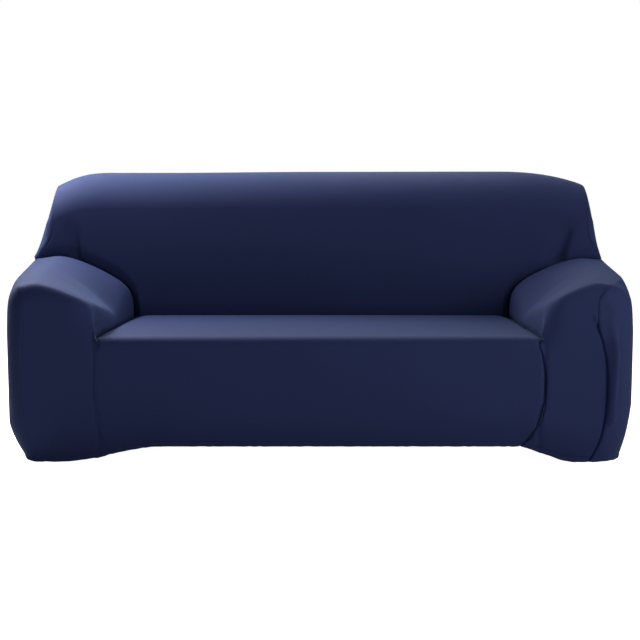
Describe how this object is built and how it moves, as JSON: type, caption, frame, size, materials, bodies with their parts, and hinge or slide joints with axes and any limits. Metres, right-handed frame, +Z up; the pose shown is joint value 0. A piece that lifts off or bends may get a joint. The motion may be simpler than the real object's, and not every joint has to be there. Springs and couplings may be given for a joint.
{
  "type": "sofa slipcover",
  "caption": "Fitted stretch cover for a sofa with arms: hollow, open underneath, with an elastic hem and tucked creases.",
  "frame": {"origin": "on the floor, under the middle of the cover's width and depth, at the height of its lowest hem", "axes": "+Z up; -Y out of the front of the seat; +X towards the arm on the right as seen from the front"},
  "size_m": [2.156, 0.8809, 0.9511],
  "materials": {
    "cloth": "matte navy stretch knit with a soft sheen"
  },
  "bodies": {
    "root": {"seat_panel": "cloth", "back_panel": "cloth", "left_arm_panel": "cloth", "right_arm_panel": "cloth", "left_side_panel": "cloth", "right_side_panel": "cloth"}
  },
  "joints": []
}
